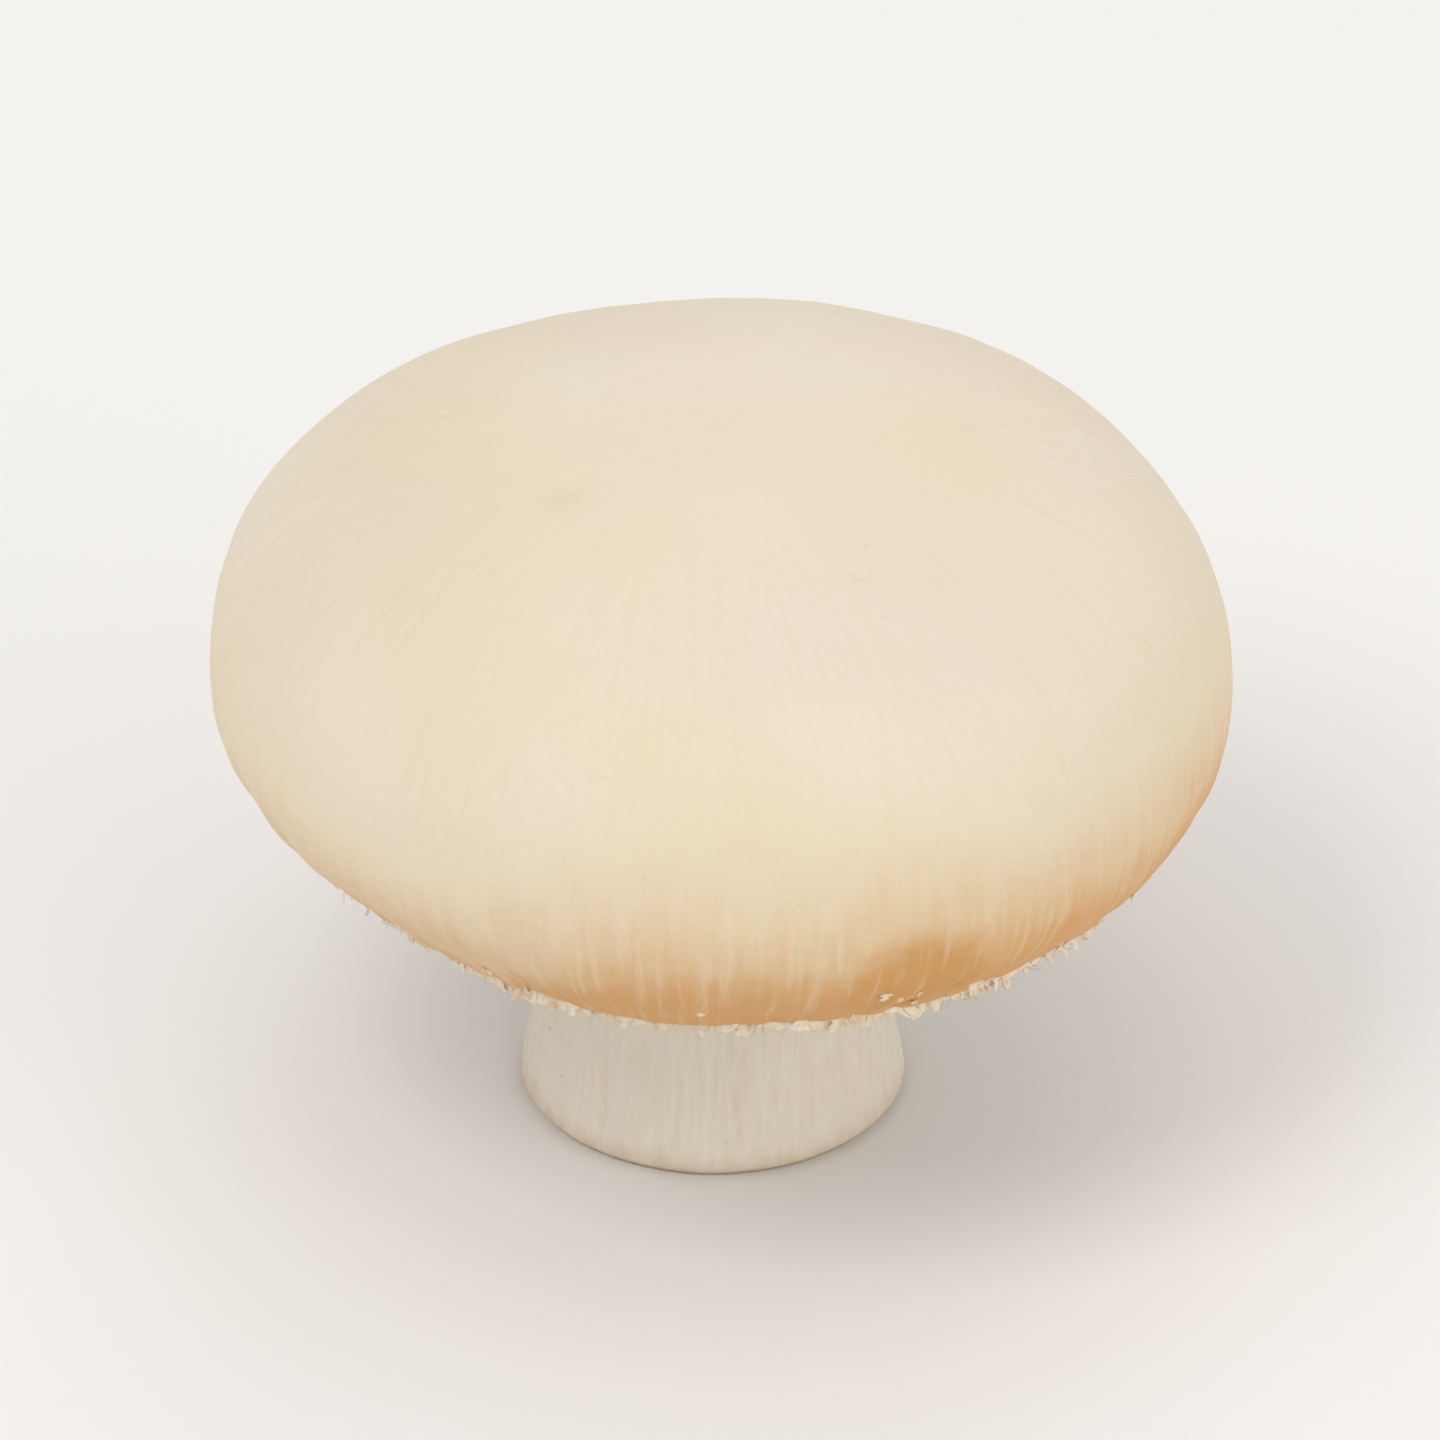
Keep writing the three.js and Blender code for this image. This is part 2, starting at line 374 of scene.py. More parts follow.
class Finish:
    """A procedural material. Its textures are sized in millimetres."""

    def __init__(self, name):
        self.material = bpy.data.materials.new(name)
        self.material.use_nodes = True
        self.tree = self.material.node_tree
        self.tree.nodes.clear()
        place = self.node("TexCoord", output="Object")
        self.place = self.vector("SCALE", {0: place, "Scale": 1 / MM})

    def node(self, kind, settings=None, inputs=None, output=0):
        made = self.tree.nodes.new("ShaderNode" + kind)
        for name, setting in (settings or {}).items():
            setattr(made, name, setting)
        for name, value in (inputs or {}).items():
            if isinstance(value, Signal):
                self.tree.links.new(value.socket, made.inputs[name])
            else:
                made.inputs[name].default_value = value
        return Signal(self, made.outputs[output]) if made.outputs else None

    def vector(self, operation, inputs, output=0):
        return self.node("VectorMath", {"operation": operation}, inputs, output)

    def stretched(self, x, y, z):
        return self.vector("MULTIPLY", {0: self.place, 1: (x, y, z)})

    def noise(self, size, detail=2.0, roughness=0.5, where=None):
        inputs = {
            "Vector": where or self.place,
            "Scale": 1 / size,
            "Detail": detail,
            "Roughness": roughness,
        }
        return self.node("TexNoise", None, inputs)

    def spots(self, size):
        """Distance from the middle of scattered spots, in spot spacings."""
        inputs = {"Vector": self.place, "Scale": 1 / size}
        return self.node("TexVoronoi", {"feature": "F1"}, inputs, "Distance")

    def attribute(self, name):
        """A value that the mesh carries at each point."""
        return self.node("Attribute", {"attribute_name": name}, output="Fac")

    def band(self, signal, low, high):
        """0 at low, 1 at high, with an even S between. High may be below low."""
        inputs = {"Value": signal, "From Min": low, "From Max": high}
        return self.node("MapRange", {"interpolation_type": "SMOOTHSTEP"}, inputs)

    def mix(self, factor, below, above):
        inputs = {0: factor, 6: below, 7: above}
        return self.node("Mix", {"data_type": "RGBA"}, inputs, 2)

    def across(self):
        """Distance from the upright axis, in millimetres."""
        return self.vector("LENGTH", {0: self.stretched(1, 1, 0)}, "Value")

    def level(self):
        return self.node("SeparateXYZ", None, {0: self.place}, "Z")

    def along(self, heading):
        """How far out from the upright axis toward a heading, in millimetres."""
        toward = (math.cos(heading), math.sin(heading), 0)
        return self.vector("DOT_PRODUCT", {0: self.place, 1: toward}, "Value")

    def away_from(self, spot):
        """Distance from a spot, in millimetres."""
        return self.vector("DISTANCE", {0: self.place, 1: spot}, "Value")

    def spokes(self, count, run):
        """A place that changes fast round the axis and slowly outward and up it."""
        heading = self.vector("NORMALIZE", {0: self.stretched(1, 1, 0)})
        around = self.vector("SCALE", {0: heading, "Scale": count})
        outward = self.vector("SCALE", {0: self.place, "Scale": 1 / run})
        return self.vector("ADD", {0: around, 1: outward})

    def bump(self, height):
        """Relief whose height is in millimetres."""
        return self.node("Bump", None, {"Strength": 1.0, "Distance": MM, "Height": height})

    def surface(self, tone, roughness, specular, relief):
        """Ends the material as moist flesh: waxy, with little gloss of its own."""
        shader = self.node("BsdfPrincipled", None, {
            "Base Color": tone,
            "Roughness": roughness,
            "IOR": FLESH_IOR,
            "Specular IOR Level": specular,
            "Normal": self.bump(relief),
        })
        self.node("OutputMaterial", None, {"Surface": shader})
        return self.material


def swing(texture, reach):
    """Turns a texture of 0 to 1 into one that swings evenly about 0, reach in all."""
    return reach * (texture - 0.5)


def color(red, green, blue):
    return (red, green, blue, 1.0)


# Cap's skin
CREAM = color(0.83, 0.745, 0.605)
STRAW = color(0.815, 0.715, 0.53)
BLUSH = color(0.82, 0.705, 0.59)
BUFF = color(0.80, 0.665, 0.455)
WARM_TAN = color(0.69, 0.385, 0.15)
TOASTED = color(0.66, 0.33, 0.10)
GOLDEN_PATCH = color(0.62, 0.305, 0.085)
BRUISE = color(0.62, 0.45, 0.28)
# Painted shade in the creases of the margin
CREASE_SHADE = color(0.50, 0.27, 0.11)
INNER_FLESH = color(0.80, 0.69, 0.53)

# Torn veil
VEIL_WHITE = color(0.87, 0.80, 0.67)
VEIL_BUFF = color(0.80, 0.66, 0.46)
VEIL_TAN = color(0.72, 0.52, 0.31)
LIFTED_SKIN = color(0.76, 0.53, 0.31)

# Gills
GILL_DEEP = color(0.52, 0.31, 0.23)
GILL_PALE = color(0.62, 0.42, 0.32)
GILL_EDGE = color(0.72, 0.53, 0.42)

# Stem
STEM_WHITE = color(0.88, 0.81, 0.69)
STEM_CREAM = color(0.84, 0.745, 0.60)
STEM_STRAW = color(0.79, 0.67, 0.49)
STEM_RUBBED = color(0.72, 0.55, 0.37)
CUT_PALE = color(0.80, 0.69, 0.51)
CUT_BROWN = color(0.66, 0.50, 0.33)
CUT_RIM = color(0.55, 0.38, 0.22)
SOILED = color(0.58, 0.39, 0.22)
SPECK = color(0.30, 0.19, 0.11)

# Washes of tan toward the margin, partly the skin's own browning and partly painted warm
# shade: colour, the levels where it starts and is full, strength
MARGIN_TAN_AND_SHADE_WASHES = (
    (BUFF, 31.8, 20.8, 0.7),
    (WARM_TAN, 26.3, 14.3, 0.85),
    (TOASTED, 20.8, 15.8, 0.62),
)

# A darker golden brown patch low on the curl: the middle of it, how far it reaches and fades
GOLDEN_PATCH_HEADING = math.radians(-65)
GOLDEN_PATCH_RADIUS = 0.35 * MARGIN_RADIUS + 0.65 * CAP_RADIUS
GOLDEN_PATCH_PLACE = (
    GOLDEN_PATCH_RADIUS * math.cos(GOLDEN_PATCH_HEADING),
    GOLDEN_PATCH_RADIUS * math.sin(GOLDEN_PATCH_HEADING),
    0.6 * MARGIN_LEVEL + 0.4 * WIDEST_LEVEL,
)
GOLDEN_PATCH_REACH = 4.1
GOLDEN_PATCH_FADE = 1.2


def crown_tone(skin):
    """Cream skin with wide straw and blush patches, with painted warm light on the +X side."""
    straw = skin.band(skin.noise(21, 1.5), 0.42, 0.62)
    blush = skin.band(skin.noise(17, 1.0, where=skin.stretched(1, 1.2, 1.5)), 0.5, 0.7)
    tone = skin.mix(straw * 0.8, CREAM, STRAW)
    tone = skin.mix(blush * 0.5, tone, BLUSH)
    # Painted warm light: a straw cast toward the +X side
    return skin.mix(skin.band(skin.along(0), 19, 27) * 0.45, tone, STRAW)


def tan_and_painted_shade(skin, tone, streaks):
    """Tan toward the margin, partly the skin's own browning and partly painted warm shade,
    higher on one side, broken up by patches and fibres.
    """
    level = skin.level() + swing(skin.noise(9, 3), 6) + swing(skin.noise(2.2, 4, 0.6), 2.6)
    level = level + swing(streaks, 4)
    # The tan and its painted warm shade reach higher on one side
    level = level - TAN_AND_SHADE_RISE * skin.band(skin.along(TAN_AND_SHADE_SIDE), 2, 26)
    for wash, start, full, strength in MARGIN_TAN_AND_SHADE_WASHES:
        tone = skin.mix(skin.band(level, start, full) * strength, tone, wash)
    away = skin.away_from(GOLDEN_PATCH_PLACE) + swing(skin.noise(1.8, 4, 0.6), 3.2) - swing(streaks, 3)
    golden_patch = skin.band(away, GOLDEN_PATCH_REACH + GOLDEN_PATCH_FADE, GOLDEN_PATCH_REACH - GOLDEN_PATCH_FADE)
    return skin.mix(golden_patch * 0.68, tone, GOLDEN_PATCH)


def marked(skin, tone):
    """Faint bruises, freckles and scuffs."""
    bruises = skin.band(skin.spots(15), 0.15, 0.02) * skin.band(skin.noise(2.0, 4), 0.42, 0.6)
    freckles = skin.band(skin.spots(2.7), 0.11, 0.04) * skin.band(skin.noise(6), 0.48, 0.6)
    scuffs = skin.band(skin.noise(1.0, 5, 0.7, where=skin.stretched(0.5, 1.1, 0.8)), 0.62, 0.72)
    scuffs = scuffs * skin.band(skin.noise(8), 0.5, 0.62)
    return skin.mix(bruises * 0.16 + freckles * 0.12 + scuffs * 0.16, tone, BRUISE)


def cap_finish():
    skin = Finish("cap_skin")
    # Painted shade in the creases, and -1 for the bare flesh within the lip
    crease_shade_and_lip_flesh = skin.attribute("crease_shade_and_lip_flesh")
    streaks = skin.noise(1.0, 4, 0.6, where=skin.spokes(46, 7))
    shoulder = skin.band(skin.across(), 5, 20)
    tone = tan_and_painted_shade(skin, crown_tone(skin), streaks)
    tone = skin.mix(skin.band(streaks, 0.5, 0.72) * shoulder * 0.3, tone, BUFF)
    tone = marked(skin, tone)
    # Painted shade, dark brown, in the creases of the margin
    tone = skin.mix(skin.band(crease_shade_and_lip_flesh, 0.15, 1.0) * 0.75, tone, CREASE_SHADE)
    tone = skin.mix(skin.band(crease_shade_and_lip_flesh, -0.2, -0.9), tone, INNER_FLESH)
    grain = skin.noise(0.35, 4, 0.6)
    pores = skin.noise(1.3, 4, 0.6)
    relief = grain * 0.03 + pores * 0.07 + streaks * shoulder * 0.07
    return skin.surface(tone, 0.48 + 0.18 * skin.noise(2.5, 3), 0.35, relief)


def veil_finish():
    veil = Finish("torn_veil")
    fibres = veil.noise(0.5, 4, 0.65, where=veil.stretched(1, 1, 0.25))
    tone = veil.mix(veil.band(fibres, 0.42, 0.66), VEIL_WHITE, VEIL_BUFF)
    patches = veil.band(veil.noise(2.6, 3), 0.48, 0.62)
    tone = veil.mix(patches * 0.3, tone, VEIL_TAN)
    tone = veil.mix(veil.attribute("skin") * 0.8, tone, LIFTED_SKIN)
    return veil.surface(tone, 0.75, 0.25, fibres * 0.05)


def gill_finish():
    gill = Finish("gill_flesh")
    tone = gill.mix(gill.band(gill.noise(4.5, 3), 0.35, 0.65), GILL_DEEP, GILL_PALE)
    tone = gill.mix(gill.band(gill.attribute("edge"), 0.55, 1.0) * 0.55, tone, GILL_EDGE)
    return gill.surface(tone, 0.7, 0.25, gill.noise(0.3, 3) * 0.03)


def stem_side_tone(stem, fibres, coarse):
    """Pale flesh, fibrous along its length and rubbed in patches."""
    tone = stem.mix(stem.band(fibres, 0.4, 0.75) * 0.55, STEM_WHITE, STEM_CREAM)
    tone = stem.mix(stem.band(coarse, 0.5, 0.75) * 0.2, tone, STEM_STRAW)
    rubbed = stem.noise(1.0, 5, 0.65, where=stem.stretched(0.4, 0.4, 0.16))
    return stem.mix(stem.band(rubbed, 0.55, 0.72) * 0.28, tone, STEM_RUBBED)


def cut_tone(stem):
    """The cut face: mottled flesh, browner at its rim and in its pith."""
    across = stem.across()
    rim = stem.band(across, 7.2, 9.9)
    pith = stem.band(across + 1.5 * stem.noise(2), 3.4, 2.2)
    flesh = stem.mix(stem.noise(0.8, 4), CUT_PALE, CUT_BROWN)
    return stem.mix(rim * 0.5 + pith * 0.35, flesh, CUT_RIM)


def stem_finish():
    stem = Finish("stem_flesh")
    fibres = stem.noise(1.0, 5, 0.62, where=stem.spokes(30, 3.5))
    coarse = stem.noise(1.0, 3, 0.55, where=stem.spokes(8, 7))
    level = stem.level()
    cut = stem.band(level, 0.35, 0.12)
    tone = stem.mix(cut, stem_side_tone(stem, fibres, coarse), cut_tone(stem))
    foot = stem.band(level + 2.2 * stem.noise(1.3, 4), 2.9, 0.9) * (1 - cut)
    tone = stem.mix(foot * 0.5, tone, SOILED)
    specks = stem.band(stem.spots(2.3), 0.085, 0.04) * stem.band(stem.noise(5), 0.5, 0.6)
    tone = stem.mix(specks * stem.band(level, 9, 2) * 0.6, tone, SPECK)
    relief = (fibres * 0.09 + coarse * 0.18) * (1 - cut) + stem.noise(0.4, 4) * 0.05
    return stem.surface(tone, 0.6 + 0.14 * fibres, 0.3, relief)


# ---------------------------------------------------------------- cap

# Rows of points from the crown to the middle of the roof
DOME_ROWS = 84
CURL_ROWS = 37
LIP_ROWS = 11
INNER_ROWS = 7
ROOF_ROWS = 15
CAP_COLUMNS = 592
CROWN_START = 0.012

# The corner between curl and lip is rounded from this many rows above the lip down to this
# many above its inner end
CORNER_ROWS_ABOVE = 7
CORNER_ROWS_LEFT = 4

# Creases that run up from the margin: heading and slant in degrees, width, height and
# depth in millimetres
CREASES = (
    (-64, 48, 0.50, 3.6, 0.36),
    (-57, 30, 0.42, 2.2, 0.22),
    (-83, -20, 0.45, 2.0, 0.16),
    (-34, -14, 1.00, 3.4, 0.62),
    (-26, 12, 0.45, 2.0, 0.22),
    (24, -25, 0.50, 2.6, 0.24),
    (97, 30, 0.50, 3.2, 0.28),
    (158, -12, 0.45, 2.4, 0.20),
    (219, 20, 0.50, 2.8, 0.26),
)
# Creases this deep get the full painted shade
CREASE_SHADE_DEPTH = 0.36

# The skin is pushed out as if from a ball that was squashed by this much
BALL_SQUASH = 1.6


def cap_profile():
    """Radius and level of each row, from the crown down to the margin, under the lip and up
    to the roof, and the number of rows down to the lip's inner end."""
    dome = np.linspace(CROWN_START, math.pi / 2, DOME_ROWS)
    dome_radius, dome_rise = oval_point(CAP_RADIUS, CAP_RISE, DOME_FULLNESS, dome)
    curl = np.linspace(math.pi / 2, MARGIN_ANGLE, CURL_ROWS + 1)[1:]
    curl_radius, curl_drop = oval_point(CAP_RADIUS, CURL_DEPTH, CURL_FULLNESS, curl)
    lip = np.linspace(0, math.pi, LIP_ROWS + 2)[1:-1]
    lip_radius = MARGIN_RADIUS - LIP_THICKNESS / 2 * (1 - np.cos(lip))
    lip_level = MARGIN_LEVEL - LIP_ROUND * np.sin(lip)
    inner = np.linspace(0, 1, INNER_ROWS)
    inner_start = MARGIN_RADIUS - LIP_THICKNESS
    inner_radius = inner_start + (ROOF_RADIUS - inner_start) * (1 - (1 - inner) ** 1.6)
    inner_level = MARGIN_LEVEL + (ROOF_LEVEL - MARGIN_LEVEL) * inner
    roof_radius = np.linspace(ROOF_RADIUS, STEM_TOP_RADIUS, ROOF_ROWS + 1)[1:]
    roof_radius = np.concatenate([roof_radius, CORE_RADII])
    radius = np.concatenate([dome_radius, curl_radius, lip_radius, inner_radius, roof_radius])
    level = np.concatenate([
        WIDEST_LEVEL + dome_rise,
        WIDEST_LEVEL - curl_drop,
        lip_level,
        inner_level,
        roof_level(roof_radius),
    ])
    outside = DOME_ROWS + CURL_ROWS + LIP_ROWS
    corner = slice(outside - LIP_ROWS - CORNER_ROWS_ABOVE, outside - CORNER_ROWS_LEFT)
    for line in (radius, level):
        soften(line, corner, passes=12, middle=2)
    return radius, level, outside


def margin_creases(angle, level):
    """How deep the margin is creased, in millimetres, and how much painted shade darkens
    each crease.
    """
    depth = np.zeros_like(level)
    crease_shade_and_lip_flesh = np.zeros_like(level)
    rise = level - MARGIN_LEVEL
    for heading, slant, width, height, deep in CREASES:
        path = math.radians(heading) + rise * math.tan(math.radians(slant)) / MARGIN_RADIUS
        off = (angle - path + math.pi) % FULL_TURN - math.pi
        near = np.exp(-(off * MARGIN_RADIUS / width) ** 2)
        near = near * smooth(height - rise, 0, height)
        depth = depth + deep * near
        crease_shade_and_lip_flesh = np.maximum(crease_shade_and_lip_flesh, deep / CREASE_SHADE_DEPTH * near**2)
    return depth, crease_shade_and_lip_flesh


def cap_relief(x, y, z, angle):
    """How far the skin stands out: low lumps all over, and puckers toward the margin."""
    lumps = 0.10 * ripple(x, y, z, wavelength=21, seed=1)
    lumps = lumps + 0.03 * ripple(x, y, z, wavelength=9, seed=2)
    lumps = lumps + 0.014 * ripple(x, y, z, wavelength=3.4, seed=3)
    puckers = 0.09 * round_ripple(angle, slowest=22, fastest=80, seed=4)
    puckers = puckers + 0.08 * round_ripple(angle, slowest=6, fastest=16, seed=5)
    return lumps + puckers * (1 - smooth(z, MARGIN_LEVEL + 0.5, WIDEST_LEVEL + 1))


def make_cap():
    radius, level, outside = cap_profile()
    radius, level, angle = turned(radius, level, CAP_COLUMNS)
    x = radius * np.cos(angle)
    y = radius * np.sin(angle)
    push = cap_relief(x, y, level, angle)
    creases, crease_shade_and_lip_flesh = margin_creases(angle, level)

    # The relief dies out under the lip, where the creases only grow shallower
    lip = slice(outside - LIP_ROWS, outside)
    push[lip] *= np.linspace(1, 0, LIP_ROWS)[:, None]
    push = push - creases
    push[lip] *= np.linspace(1, 0.6, LIP_ROWS)[:, None]
    push[outside:] = 0

    # Within the lip a mark of -1 stands for the bare flesh; elsewhere the mark is the painted
    # shade of the creases
    crease_shade_and_lip_flesh[outside - LIP_ROWS // 2:] = -1

    out = np.stack([x, y, (level - WIDEST_LEVEL) * BALL_SQUASH], axis=-1)
    out /= np.linalg.norm(out, axis=-1, keepdims=True)
    cap = Shape()
    cap.add_lattice(
        x + push * out[..., 0], y + push * out[..., 1], level + push * out[..., 2], value=crease_shade_and_lip_flesh
    )
    cap.build("cap_flesh", cap_finish(), replaces="cap", value_name="crease_shade_and_lip_flesh")


# ---------------------------------------------------------------- torn veil

VEIL_COLUMNS = 1500
VEIL_TATTERS = 520
VEIL_FLAKES = 170
VEIL_THREADS = 420


def torn_edge(columns, seed, tooth, fullness):
    """Heights, 0 to 1, of a torn edge that closes round. Its largest tears are about `tooth`
    columns wide, with finer ones on them. Fullness above 1 leaves most of it short."""
    draw = np.random.default_rng(seed)
    total = 0
    for octave in range(5):
        stops = max(4, round(columns / tooth * 2**octave))
        heights = draw.uniform(0, 1, stops)
        place = np.arange(columns) * stops / columns + draw.uniform()
        before = np.floor(place).astype(int)
        share = place - before
        tears = heights[before % stops] * (1 - share) + heights[(before + 1) % stops] * share
        total = total + 0.62**octave * tears
    total = (total - total.min()) / (total.max() - total.min())
    return total**fullness


def add_skirt(shape, angle, radius, level, length, outward, curl, thickness):
    """A thin torn skirt that hangs all round, closed over its lower edge. Outward is how
    far it leans out as it drops, and curl how far it bends."""
    along = np.linspace(0, 1, 7)[:, None]
    drop = length * along
    r = radius + outward * drop + curl * along**2 * length
    z = level - drop * np.sqrt(np.maximum(1 - (outward + curl * along) ** 2, 0.15))
    wall = thickness * (1 - 0.72 * along)
    r = np.vstack([r + wall / 2, (r - wall / 2)[::-1]])
    z = np.vstack([z, z[::-1] + 0.02])
    shape.add_lattice(r * np.cos(angle), r * np.sin(angle), z, ring=True)


def add_tatter(shape, draw, angle, radius, level, width, length, lift, curl, value=0.0):
    """A small torn flap: a thin curved strip that narrows to a ragged tip. Lift is the
    angle that it leaves at, from straight down towards outward, and curl its turn."""
    steps = 8
    along = np.linspace(0, 1, steps)
    heading = lift + curl * along
    step = length / (steps - 1)
    out = np.concatenate([[0], np.cumsum(np.sin(heading[:-1]) * step)])
    down = np.concatenate([[0], np.cumsum(np.cos(heading[:-1]) * step)])
    ragged = 1 + 0.28 * draw.normal(size=steps)
    taper = 1 - draw.uniform(0.35, 0.8) * along**1.5
    half = 0.5 * width * taper * np.clip(ragged, 0.5, 1.6)
    drift = draw.normal() * 0.3 * length * along**1.5
    wall = 0.045 + 0.075 * (1 - along)
    side = np.array([-1.0, -0.4, 0.4, 1.0, 1.0, 0.4, -0.4, -1.0])
    face = np.array([0.35, 1.0, 1.0, 0.35, -0.35, -1.0, -1.0, -0.35])
    cup = 0.22 * draw.uniform(-1, 1)
    across = half[:, None] * side + drift[:, None]
    normal = wall[:, None] * face / 2 + cup * half[:, None] * side**2
    r = radius + out[:, None] + normal * np.cos(heading)[:, None]
    z = level - down[:, None] + normal * np.sin(heading)[:, None]
    turn = angle + across / radius
    shape.add_lattice(r * np.cos(turn), r * np.sin(turn), z, value=value)


def add_flake(shape, draw, angle, share):
    """A small scale of skin that has lifted off the cap, `share` of the way from its widest
    level down to its margin."""
    turn = math.pi / 2 - (math.pi / 2 - MARGIN_ANGLE) * (share + np.array([0, 0.05]))
    radius, drop = oval_point(CAP_RADIUS, CURL_DEPTH, CURL_FULLNESS, turn)
    slope = math.atan2(radius[1] - radius[0], drop[1] - drop[0])
    size = draw.uniform(0.1, 1) ** 3
    add_tatter(
        shape, draw, angle,
        radius=radius[0] - 0.10,
        level=WIDEST_LEVEL - drop[0],
        width=0.16 + 0.8 * size,
        length=0.26 + 0.55 * size,
        lift=slope + draw.uniform(0.1, 0.42),
        curl=draw.uniform(-0.2, 0.7),
        value=draw.uniform(0.3, 1),
    )


def add_thread(shape, draw, angle, radius, level, length):
    """A stray fibre of the veil, three-sided, curving as it hangs."""
    along = np.linspace(0, 1, 6)
    lift = draw.uniform(-0.8, 1.3)
    curl = draw.uniform(-1.6, 1.6)
    out = length * along * np.sin(lift + curl * along)
    down = length * along * np.cos(lift + curl * along)
    sideways = length * draw.normal() * 0.5 * along**1.6
    corner = np.array([0, 2.1, 4.2])
    thick = 0.028 * (1.1 - 0.7 * along)[:, None]
    r = radius + out[:, None] + thick * np.cos(corner)
    z = level - down[:, None] + thick * np.sin(corner)
    turn = angle + (sideways[:, None] + thick * np.sin(corner)) / radius
    shape.add_lattice(r * np.cos(turn), r * np.sin(turn), z)


def torn_most(angle):
    """1 where most of the veil is left on the margin, falling to 0 opposite."""
    return 0.5 + 0.5 * np.cos(angle - TORN_SIDE)


def hang_tatters(veil, draw):
    """Torn flaps along the margin, most and largest where most of the veil is left."""
    for _ in range(VEIL_TATTERS):
        where = draw.uniform(0, FULL_TURN)
        plenty = torn_most(where)
        if draw.uniform() > 0.25 + 0.75 * plenty:
            continue
        size = draw.uniform(0.1, 1) ** 2.4 * (0.55 + 0.45 * plenty)
        add_tatter(
            veil, draw, where,
            radius=MARGIN_RADIUS - draw.uniform(0.3, 1.25),
            level=MARGIN_LEVEL - draw.uniform(0.05, 0.35),
            width=0.2 + 0.9 * size,
            length=0.7 + 0.7 * size,
            lift=draw.uniform(-0.6, 0.5),
            curl=draw.uniform(-0.6, 1.1),
        )


def make_veil():
    angle = round_angles(VEIL_COLUMNS)
    creased, _ = margin_creases(angle, np.full(VEIL_COLUMNS, MARGIN_LEVEL))
    tears = torn_edge(VEIL_COLUMNS, seed=21, tooth=40, fullness=2.2)
    veil = Shape()
    add_skirt(
        veil, angle,
        radius=MARGIN_RADIUS - LIP_THICKNESS / 2 - 0.7 * creased,
        level=MARGIN_LEVEL - 0.5,
        length=0.32 + (0.55 + 0.75 * torn_most(angle)) * tears,
        outward=0.06 * round_ripple(angle, slowest=3, fastest=30, seed=22),
        curl=0.2 * round_ripple(angle, slowest=12, fastest=110, seed=23),
        thickness=0.3,
    )
    draw = np.random.default_rng(24)
    hang_tatters(veil, draw)
    for _ in range(VEIL_FLAKES):
        where = draw.uniform(0, FULL_TURN)
        if draw.uniform() < 0.07 + 0.93 * torn_most(where) ** 8:
            add_flake(veil, draw, where, draw.uniform(0.2, 1.0) ** 0.35)
    for _ in range(VEIL_THREADS):
        where = draw.uniform(0, FULL_TURN)
        radius = MARGIN_RADIUS - draw.uniform(0.2, 1.2)
        add_thread(veil, draw, where, radius, MARGIN_LEVEL - 0.6, draw.uniform(0.3, 1.0))
    veil.build("veil_fringe", veil_finish(), value_name="skin")


# ---------------------------------------------------------------- gills

FULL_GILLS = 68
GILL_ROOT_THICKNESS = 0.30
GILL_EDGE_THICKNESS = 0.13
GILL_STEP = 0.62
GILL_SIDE = (-0.08, 0.3, 0.62, 0.86, 1.0)
ANY_PHASE = 6.3

# How far out a blade takes to reach its full depth
FULL_GILL_END = 1.7
SHORT_GILL_END = 2.6


def gill_start(slot, draw):
    """Each full blade is followed by a short, a middling and a short one. They start at the
    stem, 13 to 15 mm out and 16.2 to 18.4 mm out."""
    if slot % 4 == 0:
        return GILL_INNER_RADIUS + draw.uniform(0, 0.3)
    if slot % 4 == 2:
        return 13.0 + draw.uniform(0, 2.0)
    return 16.2 + draw.uniform(0, 2.2)


def add_gill(shape, draw, heading, start, depth_share):
    """One blade from radius `start` to the margin, rooted a little inside the roof."""
    steps = max(8, int((GILL_OUTER_RADIUS - start) / GILL_STEP))
    radius = np.linspace(start, GILL_OUTER_RADIUS, steps)
    run = (radius - GILL_INNER_RADIUS) / (GILL_OUTER_RADIUS - GILL_INNER_RADIUS)
    roof = roof_level(radius)
    edge = GILL_EDGE_INNER_LEVEL + (GILL_EDGE_OUTER_LEVEL - GILL_EDGE_INNER_LEVEL) * run
    end = FULL_GILL_END if start < GILL_INNER_RADIUS + 1 else SHORT_GILL_END
    round_in = np.clip((radius - start) / end, 0.02, 1)
    depth = (roof - edge) * depth_share * np.sqrt(1 - (1 - round_in) ** 2)
    depth = depth * (1 + 0.035 * np.sin(1.9 * radius + draw.uniform(0, ANY_PHASE)))

    share = np.array(GILL_SIDE + GILL_SIDE[::-1])
    side = np.repeat([-1.0, 1.0], len(GILL_SIDE))
    down = np.clip(share, 0, 1)
    wall = GILL_ROOT_THICKNESS + (GILL_EDGE_THICKNESS - GILL_ROOT_THICKNESS) * down
    bend = draw.normal(size=3) * np.array([0.10, 0.07, 0.10])
    phase = draw.uniform(0, ANY_PHASE, 2)
    waver = bend[0] * np.sin(0.42 * radius + phase[0]) + bend[1] * np.sin(1.3 * radius + phase[1])
    sideways = waver[:, None] * (0.35 + 0.65 * down) + bend[2] * down**2 + side * wall / 2
    z = roof[:, None] - depth[:, None] * share - 0.02 + np.where(share < 0, 0.25, 0)
    turn = heading + sideways / radius[:, None]
    r = np.broadcast_to(radius[:, None], z.shape)
    shape.add_lattice(r * np.cos(turn), r * np.sin(turn), z, value=np.broadcast_to(down, z.shape))


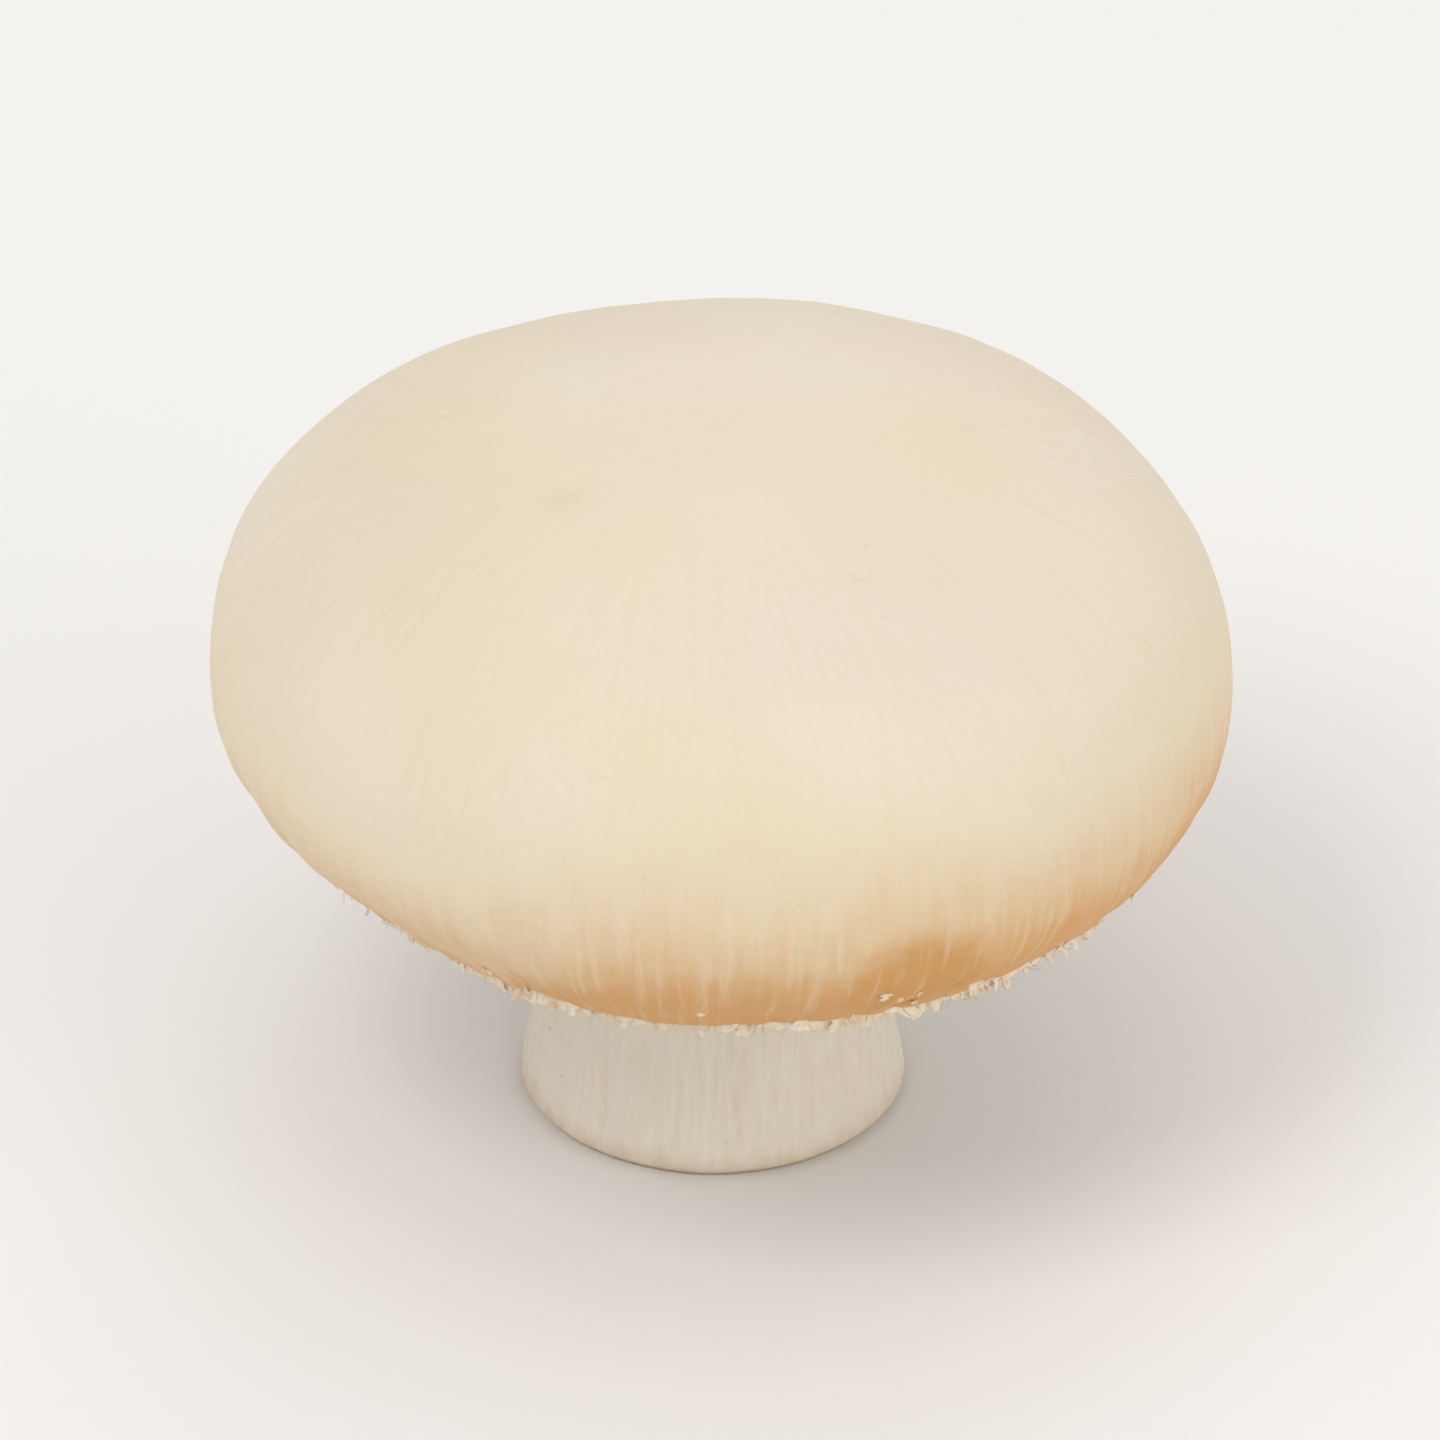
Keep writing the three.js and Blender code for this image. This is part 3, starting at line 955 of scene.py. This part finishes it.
def make_gills():
    gills = Shape()
    draw = np.random.default_rng(31)
    slots = 4 * FULL_GILLS
    for slot in range(slots):
        heading = FULL_TURN * (slot + draw.uniform(-0.12, 0.12)) / slots
        start = gill_start(slot, draw)
        add_gill(gills, draw, heading, start, depth_share=draw.uniform(0.9, 1.0))
    gills.build(
        "gill_blades", gill_finish(),
        replaces="gills", sharp_from=60, value_name="edge",
    )


# ---------------------------------------------------------------- stem

CUT_ROWS = 26
FOOT_ROWS = 7
SIDE_ROWS = 129
STEM_COLUMNS = 480
RING_COLUMNS = 620
RING_TATTERS = 90
RING_THREADS = 90

# The rows in the middle of the cut face that stay flat, and how far the top is sunk in
FLAT_ROWS = 20
STEM_SINK = 0.12


def stem_profile():
    """Radius and level of each row: across the cut face, round its edge and up the side."""
    top = float(roof_level(0.0)) + STEM_SINK
    rounding = np.linspace(0.2, math.pi / 2, FOOT_ROWS)
    cut_radius = np.linspace(0.3, FOOT_RADIUS - FOOT_ROUND, CUT_ROWS)
    foot_radius = FOOT_RADIUS - FOOT_ROUND * (1 - np.sin(rounding))
    foot_level = FOOT_ROUND * (1 - np.cos(rounding))
    side = np.linspace(FOOT_ROUND, top, SIDE_ROWS + 1)[1:]
    stalk = (
        (FOOT_ROUND, FOOT_RADIUS),
        (0.4 * WAIST_LEVEL, 0.4 * FOOT_RADIUS + 0.6 * WAIST_RADIUS),
        (WAIST_LEVEL, WAIST_RADIUS),
        (RING_LEVEL - 2, WAIST_RADIUS),
        (RING_LEVEL + 2, WAIST_RADIUS + 0.1),
        (FLARE_LEVEL, 0.5 * (WAIST_RADIUS + STEM_TOP_RADIUS)),
        (top, STEM_TOP_RADIUS),
    )
    side_radius = np.interp(side, *np.transpose(stalk))
    soften(side_radius, slice(1, SIDE_ROWS - 1), passes=10, middle=1)
    radius = np.concatenate([cut_radius, foot_radius, side_radius, CORE_RADII])
    level = np.concatenate([np.zeros(CUT_ROWS), foot_level, side, [top, top]])
    return radius, level


def stem_relief(radius, level, angle):
    """How far the side stands out: long fibres that drift round it, and low lumps."""
    x = radius * np.cos(angle)
    y = radius * np.sin(angle)
    slide = 0.05 * level
    left = round_ripple(angle + 0.02 * np.sin(0.5 * level), slowest=30, fastest=110, seed=41)
    right = round_ripple(angle - 0.03 * np.sin(0.37 * level), slowest=30, fastest=110, seed=42)
    fibre = left * np.sin(slide + 0.7) + right * np.cos(slide)
    lumps = 0.14 * ripple(x, y, level, wavelength=13, seed=43)
    lumps = lumps + 0.05 * ripple(x, y, level, wavelength=4, seed=44)
    push = (0.03 * fibre + lumps) * (0.25 + 0.75 * smooth(level, 0.1, 1.5))
    push[:FLAT_ROWS] = 0
    push[-2:] = 0
    return push


def make_stem():
    radius, level = stem_profile()
    radius, level, angle = turned(radius, level, STEM_COLUMNS)
    radius = radius + stem_relief(radius, level, angle)
    x = radius * np.cos(angle)
    y = radius * np.sin(angle)

    # Within its rim the cut face is a little hollow and rough
    hollow = smooth(FOOT_RADIUS - radius, 0.7, 2.2) * (level < 0.01)
    rough = 0.035 * ripple(x, y, level, wavelength=2.6, seed=45)
    rough = rough + 0.02 * ripple(x, y, level, wavelength=0.9, seed=46)
    stem = Shape()
    stem.add_lattice(x, y, np.maximum(level + hollow * (0.10 + rough), 0))
    stem.build("stem_flesh", stem_finish(), replaces="stem")


def make_ring():
    """The veil's ring round the stem: a torn skirt, with tatters and threads on it."""
    angle = round_angles(RING_COLUMNS)
    ring = Shape()
    add_skirt(
        ring, angle,
        radius=WAIST_RADIUS - 0.4,
        level=RING_LEVEL + 1.25,
        length=1.2 + 1.4 * torn_edge(RING_COLUMNS, seed=51, tooth=40, fullness=1.3),
        outward=0.66 + 0.07 * round_ripple(angle, slowest=3, fastest=18, seed=52),
        curl=0.1 * round_ripple(angle, slowest=6, fastest=40, seed=53),
        thickness=0.45,
    )
    draw = np.random.default_rng(54)
    for _ in range(RING_TATTERS):
        where = draw.uniform(0, FULL_TURN)
        size = draw.uniform(0.3, 1) ** 1.5
        add_tatter(
            ring, draw, where,
            radius=WAIST_RADIUS + draw.uniform(-0.05, 0.5),
            level=RING_LEVEL + draw.uniform(-0.6, 0.5),
            width=0.5 + 1.6 * size,
            length=0.4 + 1.0 * size,
            lift=draw.uniform(0.1, 1.1),
            curl=draw.uniform(-0.9, 0.6),
        )
    for _ in range(RING_THREADS):
        where = draw.uniform(0, FULL_TURN)
        add_thread(ring, draw, where, WAIST_RADIUS + 0.3, RING_LEVEL, draw.uniform(0.3, 1.0))
    ring.build("veil_ring", veil_finish(), value_name="skin")


make_cap()
make_veil()
make_gills()
make_stem()
make_ring()
